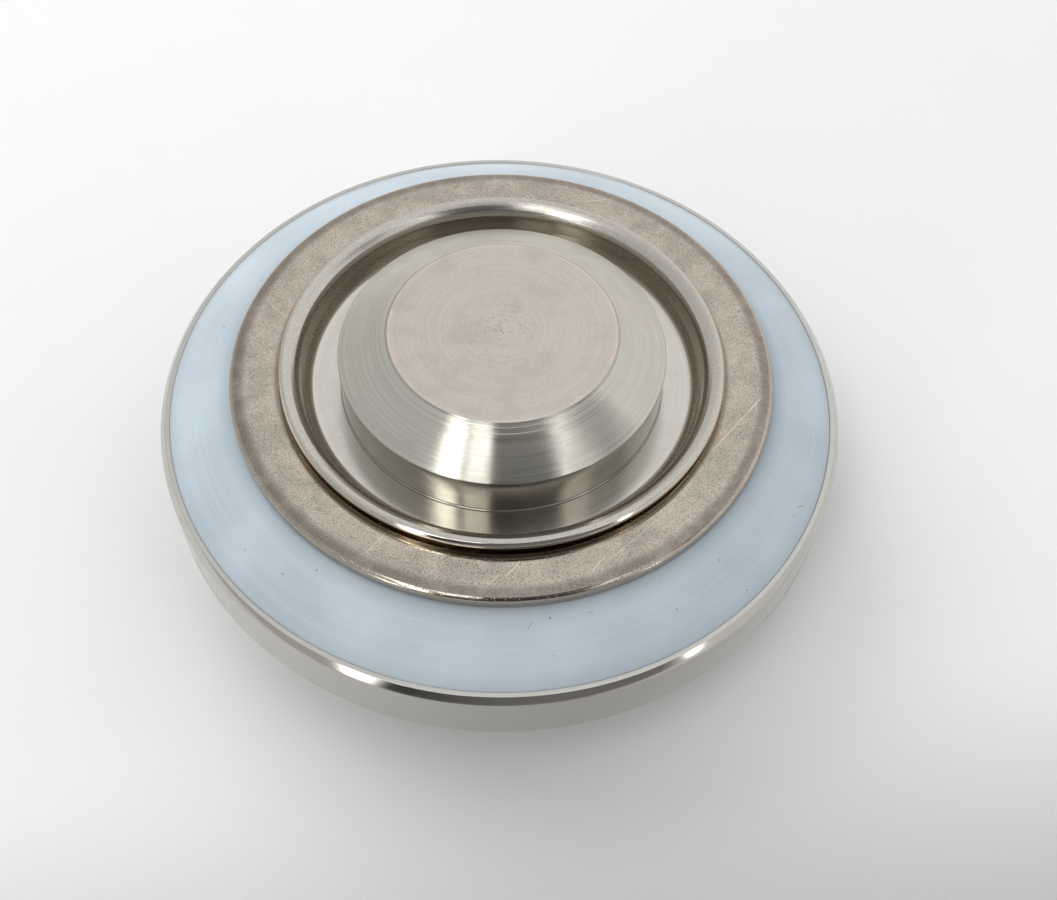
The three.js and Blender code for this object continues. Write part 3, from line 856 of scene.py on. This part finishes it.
class VALVE_OT_seat_ring(ValveOperator):
    """Make the crowned polymer seat"""

    bl_idname = "valve.seat_ring"
    bl_label = "Seat ring"

    def make(self, sizes, colours):
        crown = sizes.seat_crown / MM
        steps = 16
        face = []
        for i in range(steps + 1):
            t = i / steps
            across = SEAT_RIM[0] + (SEAT_CREST[0] - SEAT_RIM[0]) * t
            rise = SEAT_RIM[1] + (SEAT_CREST[1] - SEAT_RIM[1]) * t
            face.append((across, rise + crown * math.sin(math.pi * t)))
        piece = spun(
            "seat_ring_moulded",
            [
                (31.2, SEAT_LOW, 0.3), (44.6, SEAT_LOW, 0.3), (44.6, 18.4, 0.1), (45.1, 18.8, 0.1),
                (45.1, 19.8, 0.1), (44.64, 20.2, 0.1), *face, (32.0, SEAT_CREST[1], 0.4),
                (31.2, 26.6, 0.4),
            ],
            smooth=50,
        )
        finish_piece(piece, BODY, "seat_ring", seat_finish(colours), "seat_ring")


class VALVE_OT_disc_plate(ValveOperator):
    """Make the pressed disc plate with its rounded rim and hidden collar"""

    bl_idname = "valve.disc_plate"
    bl_label = "Disc plate"

    def make(self, sizes, colours):
        piece = spun(
            "disc_plate_pressed",
            [
                (28.0, PLATE_LOW, 0.2), (PLATE_R, PLATE_LOW, 0.30), (PLATE_R, 28.60, 0.3),
                (PLATE_R - 0.10, 28.92, 0.3), (PLATE_R - 0.48, 29.16, 0.5),
                (PLATE_R - 1.15, 29.36, 0.9), (PLATE_R - 2.10, 29.42, 1.2), (33.0, 29.34, 2.0),
                (29.2, 28.9, 0.3), (28.5, 28.9, 0.25), (28.5, 29.55, 0.15), (28.0, 29.55, 0.15),
            ],
            smooth=50,
        )
        finish_piece(piece, DISC, "disc_plate", plate_finish(colours), "disc_plate")


class VALVE_OT_disc_cup(ValveOperator):
    """Make the pressed cup whose rolled lip hooks over the plate's collar"""

    bl_idname = "valve.disc_cup"
    bl_label = "Disc cup"

    def make(self, sizes, colours):
        floor = CUP_LOW + 0.8
        piece = spun(
            "disc_cup_spun",
            [
                (4.15, CUP_LOW, 0.1), (26.0, CUP_LOW, 1.6), (27.1, 27.2, 1.5), (27.65, 29.25, 0.6),
                (28.0, 29.62, 0.3), (28.7, 29.62, 0.2), (29.1, 29.42, 0.15), (29.05, 29.50, 0.15),
                (LIP_R, 29.95, 0.35), (LIP_R, 30.40, 0.25), (29.12, 30.74, 0.25),
                (28.75, CUP_TOP, 0.35), (28.35, 30.72, 0.5), (27.8, 30.42, 0.6),
                (27.25, 29.95, 0.6), (26.82, 29.3, 0.8), (26.35, 27.4, 1.2), (25.6, floor, 1.1),
                (4.15, floor, 0.1),
            ],
            smooth=50,
        )
        finish_piece(piece, DISC, "disc_cup", cup_finish(colours), "disc_cup")
        paint_faces(piece, lip_finish(colours), lambda spot: spot.z > LIP_START * MM)


class VALVE_OT_disc_boss(ValveOperator):
    """Make the turned boss: a blind stem hole below, a cone and a flat top above"""

    bl_idname = "valve.disc_boss"
    bl_label = "Disc boss"

    def make(self, sizes, colours):
        flat = sizes.boss_flat / MM
        piece = spun(
            "disc_boss_turned",
            [
                (0, 33.0), (4.02, 33.0, 0.3), (4.02, BOSS_LOW, 0.2), (7.2, BOSS_LOW, 0.1),
                (7.2, 27.25, 0.2), (9.6, 27.25, 0.2), (9.6, BOSS_LOW, 0.1), (21.66, BOSS_LOW, 0.04),
                (21.66, BOSS_LOW + 0.1, 0.04), (BOSS_R, BOSS_LOW + 0.16, 0.04),
                (BOSS_R, 32.0, 0.09), (flat, BOSS_TOP - 0.02, 0.08), (flat - 0.12, BOSS_TOP, 0.05),
                (0, BOSS_TOP),
            ],
        )
        finish_piece(piece, DISC, "disc_boss", boss_finish(colours), "disc_boss")
        paint_faces(piece, boss_top_finish(colours), lambda spot: spot.z > (BOSS_TOP - 0.05) * MM)


class VALVE_OT_disc_carrier(ValveOperator):
    """Make the dished carrier that backs the plate and the cup"""

    bl_idname = "valve.disc_carrier"
    bl_label = "Disc carrier"

    def make(self, sizes, colours):
        piece = spun(
            "disc_carrier_turned",
            [
                (4.1, CARRIER_LOW, 0.2), (9.5, CARRIER_LOW, 0.1), (9.9, CARRIER_LOW + 0.25, 0.2),
                (27.4, CARRIER_LOW + 0.25, 0.3), (27.9, CARRIER_LOW, 0.2), (29.4, CARRIER_LOW, 0.4),
                (30.6, CARRIER_LOW + 1.2, 0.4), (30.6, CARRIER_TOP - 0.3, 0.2),
                (30.3, CARRIER_TOP, 0.1), (29.7, CARRIER_TOP, 0.1), (29.7, 26.1, 0.2),
                (28.1, 26.1, 0.2), (28.1, CARRIER_TOP, 0.1), (27.35, CARRIER_TOP, 0.1),
                (27.35, 26.0, 0.6), (26.6, CUP_LOW - 0.05, 0.3), (4.1, CUP_LOW - 0.05, 0.1),
            ],
        )
        material = steel("carrier steel", colours.hardware, 0.3, 0.7, 0.18, 2.0).material
        finish_piece(piece, DISC, "disc_carrier", material, "disc_carrier")


class VALVE_OT_guide_cage(ValveOperator):
    """Make the cast guide cage: flange, four arms, hub with sleeve, four legs and foot ring"""

    bl_idname = "valve.guide_cage"
    bl_label = "Guide cage"

    def make(self, sizes, colours):
        cage = spun(
            "guide_cage_cast",
            [
                (28.5, 11.0, 0.4), (41.6, 11.0, 0.2), (42.0, 11.5, 0.3), (42.0, 14.45, 0.2),
                (31.3, 14.45, 0.2), (31.3, 15.4, 0.3), (28.5, 15.4, 0.5),
            ],
        )
        hub = spun(
            "cage_hub",
            [
                (5.5, 9.0, 0.1), (7.0, 9.0, 0.4), (7.0, 14.6, 0.3), (9.8, 14.6, 0.3),
                (10.4, 15.2, 0.3), (10.4, 16.1, 0.3), (5.5, 16.1, 0.1),
            ],
        )
        foot = spun(
            "cage_foot",
            [(27.8, 0.0, 0.3), (31.6, 0.0, 0.2), (32.0, 0.4, 0.3), (32.0, 2.5, 0.5), (27.8, 2.5, 0.5)],
        )
        arm = bar("cage_arm", (9.0, 12.0), (30.5, 15.9), 5.0, 0.7)
        leg = bar("cage_leg", (28.6, 1.2), (31.6, 12.2), 6.0, 0.8)
        combine(cage, hub, "UNION")
        combine(cage, foot, "UNION")
        for quarter in QUARTER_TURNS:
            turn = math.pi / 4 + quarter
            combine(cage, copied(arm, "cage_arm_turned", turn), "UNION")
            combine(cage, copied(leg, "cage_leg_turned", turn), "UNION")
        bpy.data.objects.remove(arm)
        bpy.data.objects.remove(leg)
        sink = spun(
            "cage_sink",
            [(0, 10.0), (4.05, 10.0), (4.05, 11.4), (2.15, 13.2), (2.15, 15.0), (0, 15.0)],
        )
        for quarter in QUARTER_TURNS:
            shift = (SCREW_CIRCLE_R * math.cos(quarter), SCREW_CIRCLE_R * math.sin(quarter), 0)
            combine(cage, copied(sink, "cage_sink_placed", 0.0, shift), "DIFFERENCE")
        bpy.data.objects.remove(sink)
        smooth(cage, 35)
        finish_piece(cage, BODY, "guide_cage", cast_finish("cast cage steel", colours.cage), "guide_cage")


class VALVE_OT_cage_screws(ValveOperator):
    """Make the four countersunk socket screws that hold the cage"""

    bl_idname = "valve.cage_screws"
    bl_label = "Cage screws"

    def make(self, sizes, colours):
        material = hardware_finish(colours)
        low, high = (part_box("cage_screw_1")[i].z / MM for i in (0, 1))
        thread = []
        top = low + 2.6
        while top < high - 1.1:
            thread += [(2.0, top), (1.72, top + M4_PITCH / 2)]
            top += M4_PITCH
        screw = spun(
            "cage_screw_pattern",
            [
                (0, low + 1.5), (1.0, low + 1.5, 0.1), (1.62, low, 0.1), (4.0, low, 0.1),
                (4.0, low + 0.2, 0.05), (2.0, low + 2.2, 0.1), *thread, (1.6, high, 0.1), (0, high),
            ],
        )
        socket = prism("screw_socket", 6, 2.5 / math.sqrt(3), low - 1, low + 1.6)
        combine(screw, socket, "DIFFERENCE")
        for number, quarter in enumerate(QUARTER_TURNS, 1):
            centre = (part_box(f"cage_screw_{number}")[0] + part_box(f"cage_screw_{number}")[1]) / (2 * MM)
            turned = copied(screw, f"cage_screw_{number}_turned", quarter, (centre.x, centre.y, 0))
            smooth(turned, 35)
            finish_piece(turned, BODY, "fasteners", material, f"cage_screw_{number}")
        bpy.data.objects.remove(screw)


class VALVE_OT_stem(ValveOperator):
    """Make the ground guide stem and finish the bush it runs in"""

    bl_idname = "valve.stem"
    bl_label = "Stem and bush"

    def make(self, sizes, colours):
        thread = []
        height = 17.7
        while height < 22.4:
            thread += [(STEM_R, height), (THREAD_ROOT_R, height + M8_PITCH / 2)]
            height += M8_PITCH
        piece = spun(
            "stem_ground",
            [
                (0, STEM_LOW), (3.4, STEM_LOW, 0.15), (STEM_R, STEM_LOW + 0.45, 0.1),
                (STEM_R, 1.3, 0.05), (3.0, 1.3, 0.1), (3.0, 2.3, 0.1), (STEM_R, 2.3, 0.05),
                (STEM_R, 17.4, 0.1), *thread, (STEM_R, 23.2, 0.1), (STEM_R, STEM_TOP - 0.6, 0.2),
                (3.4, STEM_TOP, 0.1), (0, STEM_TOP),
            ],
        )
        finish_piece(piece, DISC, "stem", stem_finish(colours), "stem")
        bush = spun(
            "guide_bush_turned",
            [
                (4.06, 9.3, 0.1), (5.45, 9.3, 0.2), (5.45, 16.15, 0.1), (8.0, 16.15, 0.1),
                (8.0, 17.1, 0.3), (4.06, 17.1, 0.2),
            ],
        )
        finish_piece(bush, BODY, "guide_bush", bush_finish(colours), "guide_bush")


class VALVE_OT_clamp_nut(ValveOperator):
    """Make the thin hexagon nut and its lock washer"""

    bl_idname = "valve.clamp_nut"
    bl_label = "Nut and washer"

    def make(self, sizes, colours):
        material = hardware_finish(colours)
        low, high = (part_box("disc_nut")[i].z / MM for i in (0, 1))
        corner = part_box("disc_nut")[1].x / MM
        nut = prism("disc_nut_machined", 6, corner, low, high)
        barrel = spun(
            "nut_barrel",
            [
                (0, low - 0.01), (6.3, low - 0.01, 0.2), (corner + 0.05, low + 0.8, 0.2),
                (corner + 0.05, high - 0.8, 0.2), (6.3, high + 0.01, 0.2), (0, high + 0.01),
            ],
        )
        combine(nut, barrel, "INTERSECT")
        bore = spun(
            "nut_bore",
            [
                (0, low - 1), (4.5, low - 1), (4.5, low), (4.02, low + 0.5), (4.02, high + 1),
                (0, high + 1),
            ],
        )
        combine(nut, bore, "DIFFERENCE")
        smooth(nut, 25)
        finish_piece(nut, DISC, "fasteners", material, "disc_nut")
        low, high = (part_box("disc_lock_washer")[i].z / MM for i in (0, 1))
        washer = spun(
            "disc_lock_washer_coiled",
            [(4.2, low, 0.12), (7.0, low, 0.12), (7.0, high, 0.12), (4.2, high, 0.12)],
        )
        slit = bar("washer_slit", (3.0, low - 1), (8.0, high + 1), 0.7, 0.01)
        combine(washer, copied(slit, "washer_slit_turned", math.pi / 6), "DIFFERENCE")
        bpy.data.objects.remove(slit)
        smooth(washer, 35)
        finish_piece(washer, DISC, "fasteners", material, "disc_lock_washer")


class VALVE_OT_closing_spring(ValveOperator):
    """Wind the closing spring, one small extrusion at a time, and make its retainer and clip"""

    bl_idname = "valve.closing_spring"
    bl_label = "Spring, retainer, clip"

    def make(self, sizes, colours):
        self.wind(sizes, colours)
        self.hold(colours)

    def wind(self, sizes, colours):
        wire = sizes.spring_wire / MM
        turns, closed, per_turn = 5, 1.02, 48
        low, high = SPRING_LOW + wire, SPRING_HIGH - wire
        pitch = (high - low - 2 * closed) / (turns - 2)
        mean = SPRING_R - wire
        clear_selection()
        bpy.ops.mesh.primitive_circle_add(
            vertices=12,
            radius=wire * MM,
            fill_type="NGON",
            location=(mean * MM, 0, low * MM),
            rotation=(math.pi / 2, 0, 0),
        )
        spring = named("closing_spring_wound")
        settle_origin(spring)
        bpy.ops.object.mode_set(mode="EDIT")
        bpy.ops.mesh.select_all(action="SELECT")
        for i in range(turns * per_turn):
            middle = (i + 0.5) / per_turn
            rise = closed if middle < 1 or middle > turns - 1 else pitch
            bpy.ops.mesh.extrude_region_move(
                TRANSFORM_OT_translate={"value": (0, 0, rise / per_turn * MM)}
            )
            bpy.ops.transform.rotate(
                value=-2 * math.pi / per_turn,
                orient_axis="Z",
                orient_type="GLOBAL",
                center_override=(0, 0, 0),
            )
        bpy.ops.mesh.select_all(action="SELECT")
        bpy.ops.mesh.normals_make_consistent(inside=False)
        bpy.ops.object.mode_set(mode="OBJECT")
        smooth(spring, 50)
        finish_piece(spring, BODY, "spring", spring_finish(colours), "closing_spring")
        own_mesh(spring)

    def hold(self, colours):
        retainer = spun(
            "spring_retainer_turned",
            [
                (4.15, RETAINER_LOW, 0.15), (RETAINER_R - 0.6, RETAINER_LOW, 0.2),
                (RETAINER_R, RETAINER_LOW + 0.6, 0.3), (RETAINER_R, 4.5, 0.25), (9.1, 4.5, 0.25),
                (9.1, 3.4, 0.2), (4.15, 3.4, 0.15),
            ],
        )
        finish_piece(retainer, DISC, "fasteners", hardware_finish(colours), "spring_retainer")
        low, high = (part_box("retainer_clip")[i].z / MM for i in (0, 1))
        clip = spun(
            "retainer_clip_stamped",
            [(3.08, low, 0.1), (7.15, low, 0.1), (7.15, high, 0.1), (3.08, high, 0.1)],
        )
        mouth = bar("clip_mouth", (1.0, low - 1), (9.0, high + 1), 5.2, 0.05)
        combine(clip, mouth, "DIFFERENCE")
        for turn in (2 * math.pi / 3, -2 * math.pi / 3):
            pocket = prism("clip_pocket", 32, 1.3, low - 1, high + 1, (3.5, 0))
            combine(clip, copied(pocket, "clip_pocket_turned", turn), "DIFFERENCE")
            bpy.data.objects.remove(pocket)
        smooth(clip, 35)
        finish_piece(clip, DISC, "spring", spring_finish(colours), "retainer_clip")


class VALVE_OT_seals(ValveOperator):
    """Finish the three O-rings, which stay as the frame has them"""

    bl_idname = "valve.seals"
    bl_label = "Seals"

    def make(self, sizes, colours):
        material = seal_finish(colours)
        for node in ("seat_o_ring", "plate_o_ring", "boss_o_ring"):
            paint_node(node, material)


# ------------------------------------------------------------------ stage

# The camera stands in front of the valve, 55 degrees up, and leans a little to the right.
CAMERA_PLACE = (3.978, -108.334, 164.203)
CAMERA_ELEVATION = math.radians(55.11)
CAMERA_ROLL = math.radians(-2.437)
CAMERA_LENS = 44.276


class VALVE_OT_stage(ValveOperator):
    """Lay the floor and set the camera, the soft lamp and the room they stand in"""

    bl_idname = "valve.stage"
    bl_label = "Stage"

    def make(self, sizes, colours):
        self.lay_floor(colours)
        self.set_camera()
        self.set_lamps()
        self.set_room()
        bpy.context.scene.view_settings.view_transform = "Standard"

    def lay_floor(self, colours):
        clear_selection()
        bpy.ops.mesh.primitive_plane_add(size=6.0, location=(0, 0, 0))
        floor = named("studio_floor")
        fin = Finish("pale studio floor")
        x, y, _ = fin.separated(fin.place)
        # Painted shadow: the floor darkens towards the front and the right, in a soft pool round the
        # valve.
        forward = fin.math("SUBTRACT", fin.times(x, 0.20), y)
        near = fin.ramp(fin.vector("LENGTH", fin.place), 0.26, 0.10)
        floor_shadow = fin.times(fin.ramp(forward, 0.035, 0.085), near)
        tone = fin.mix(floor_shadow, colours.floor, scaled(colours.floor, 0.57))
        mottle = fin.noise(fin.place, 40.0, detail=3.0)
        tone = fin.mix(fin.ramp(mottle, 0.3, 0.7, 0.0, 0.03), tone, (0.7, 0.7, 0.7))
        fin.shade(Base_Color=tone, Roughness=0.6, Specular_IOR_Level=0.25)
        floor.data.materials.append(fin.material)

    def set_camera(self):
        right = Vector((1, 0, 0))
        up = Vector((0, math.sin(CAMERA_ELEVATION), math.cos(CAMERA_ELEVATION)))
        back = Vector((0, -math.cos(CAMERA_ELEVATION), math.sin(CAMERA_ELEVATION)))
        lean_right = right * math.cos(CAMERA_ROLL) - up * math.sin(CAMERA_ROLL)
        lean_up = right * math.sin(CAMERA_ROLL) + up * math.cos(CAMERA_ROLL)
        lens = bpy.data.cameras.new("camera")
        lens.lens = CAMERA_LENS
        lens.sensor_width = 36.0
        lens.clip_start = 0.005
        lens.clip_end = 50.0
        camera = bpy.data.objects.new("camera", lens)
        bpy.context.scene.collection.objects.link(camera)
        axes = Matrix((lean_right, lean_up, back)).transposed().to_4x4()
        camera.matrix_world = Matrix.Translation(Vector(CAMERA_PLACE) * MM) @ axes
        bpy.context.scene.camera = camera

    def set_lamps(self):
        for name, place, size, power in STAGE_LAMPS:
            light = bpy.data.lights.new(name, "AREA")
            light.shape = "DISK"
            light.size = size
            light.energy = power
            lamp = bpy.data.objects.new(name, light)
            lamp.location = place
            lamp.rotation_euler = (-Vector(place)).to_track_quat("-Z", "Y").to_euler()
            lamp.visible_camera = False
            lamp.visible_glossy = False
            bpy.context.scene.collection.objects.link(lamp)

    def set_room(self):
        """A pale room: a bright ceiling, window strips and dark furniture, which the steel mirrors."""
        world = bpy.data.worlds.new("pale room")
        bpy.context.scene.world = world
        world.use_nodes = True
        room = Wiring(world.node_tree)
        way = room.node("ShaderNodeTexCoord").outputs["Generated"]
        x, y, z = room.separated(way)

        def patch(centre, half, soft, gain):
            """A soft-edged rectangle of the sky, seen from above."""
            sides = []
            for axis, middle, reach in ((x, centre[0], half[0]), (y, centre[1], half[1])):
                off = room.math("ABSOLUTE", room.math("SUBTRACT", axis, middle))
                sides.append(room.ramp(off, reach + soft, reach - soft))
            shape = room.times(*sides)
            above = room.ramp(z, 0.02, 0.06)
            return room.times(room.times(shape, above), gain)

        level = room.ramp(y, -0.9, 0.4, 0.74, 0.88)
        level = room.plus(level, room.ramp(x, -0.9, 0.3, -0.22, 0.04))
        for centre, half, soft, gain in ROOM_PATCHES:
            level = room.plus(level, patch(centre, half, soft, gain))
        level = room.math("MAXIMUM", level, 0.06)
        tint = room.mix(room.ramp(z, -0.1, 0.6), (1.0, 0.97, 0.93), (0.97, 0.985, 1.0))
        backdrop = room.node("ShaderNodeBackground")
        room.feed(backdrop.inputs["Color"], (0.86, 0.86, 0.85, 1.0))
        glow = room.node("ShaderNodeBackground")
        room.feed(glow.inputs["Color"], tint)
        room.feed(glow.inputs["Strength"], level)
        seen = room.node("ShaderNodeLightPath").outputs["Is Camera Ray"]
        either = room.node("ShaderNodeMixShader")
        room.feed(either.inputs[0], seen)
        room.tree.links.new(glow.outputs[0], either.inputs[1])
        room.tree.links.new(backdrop.outputs[0], either.inputs[2])
        output = room.node("ShaderNodeOutputWorld")
        room.tree.links.new(either.outputs[0], output.inputs["Surface"])


# Lamps: name, place and disc diameter in metres, power in watts.
STAGE_LAMPS = [
    ("window_lamp", (-0.46, 0.38, 0.50), 0.80, 2.45),
]

# Patches of the room: centre and half size as seen from above, edge softness, brightness added.
ROOM_PATCHES = [
    ((0.175, -0.48), (0.225, 0.27), 0.010, -0.62),
    ((-0.345, -0.47), (0.060, 0.28), 0.010, 3.8),
    ((-0.145, -0.39), (0.080, 0.20), 0.010, 1.7),
    ((0.455, -0.27), (0.028, 0.18), 0.010, 1.3),
    ((0.660, -0.05), (0.120, 0.17), 0.040, -0.50),
    ((0.13, -0.95), (0.62, 0.36), 0.06, -0.56),
    ((-0.535, -0.77), (0.070, 0.08), 0.05, 5.0),
    ((0.790, -0.56), (0.022, 0.05), 0.03, 6.0),
]


# ------------------------------------------------------------------ add-on

PIECES = (
    VALVE_OT_body_ring,
    VALVE_OT_seat_ring,
    VALVE_OT_disc_plate,
    VALVE_OT_disc_cup,
    VALVE_OT_disc_boss,
    VALVE_OT_disc_carrier,
    VALVE_OT_guide_cage,
    VALVE_OT_cage_screws,
    VALVE_OT_stem,
    VALVE_OT_clamp_nut,
    VALVE_OT_closing_spring,
    VALVE_OT_seals,
    VALVE_OT_stage,
)


class VALVE_PT_build(bpy.types.Panel):
    """Sidebar panel with the sizes, the colours and a button for each piece"""

    bl_idname = "VALVE_PT_build"
    bl_label = "Wafer check valve"
    bl_space_type = "VIEW_3D"
    bl_region_type = "UI"
    bl_category = "Check valve"

    def draw(self, context):
        for group in (context.scene.valve_sizes, context.scene.valve_colours):
            box = self.layout.box()
            for name in group.__annotations__:
                box.prop(group, name)
        for operator in PIECES:
            self.layout.operator(operator.bl_idname)


CLASSES = (ValveSizes, ValveColours, *PIECES, VALVE_PT_build)


def register():
    for cls in CLASSES:
        bpy.utils.register_class(cls)
    bpy.types.Scene.valve_sizes = PointerProperty(type=ValveSizes)
    bpy.types.Scene.valve_colours = PointerProperty(type=ValveColours)


def unregister():
    del bpy.types.Scene.valve_colours
    del bpy.types.Scene.valve_sizes
    for cls in reversed(CLASSES):
        bpy.utils.unregister_class(cls)


def main():
    register()
    for operator in PIECES:
        category, name = operator.bl_idname.split(".")
        getattr(getattr(bpy.ops, category), name)()
    clear_selection()


if __name__ == "__main__":
    main()
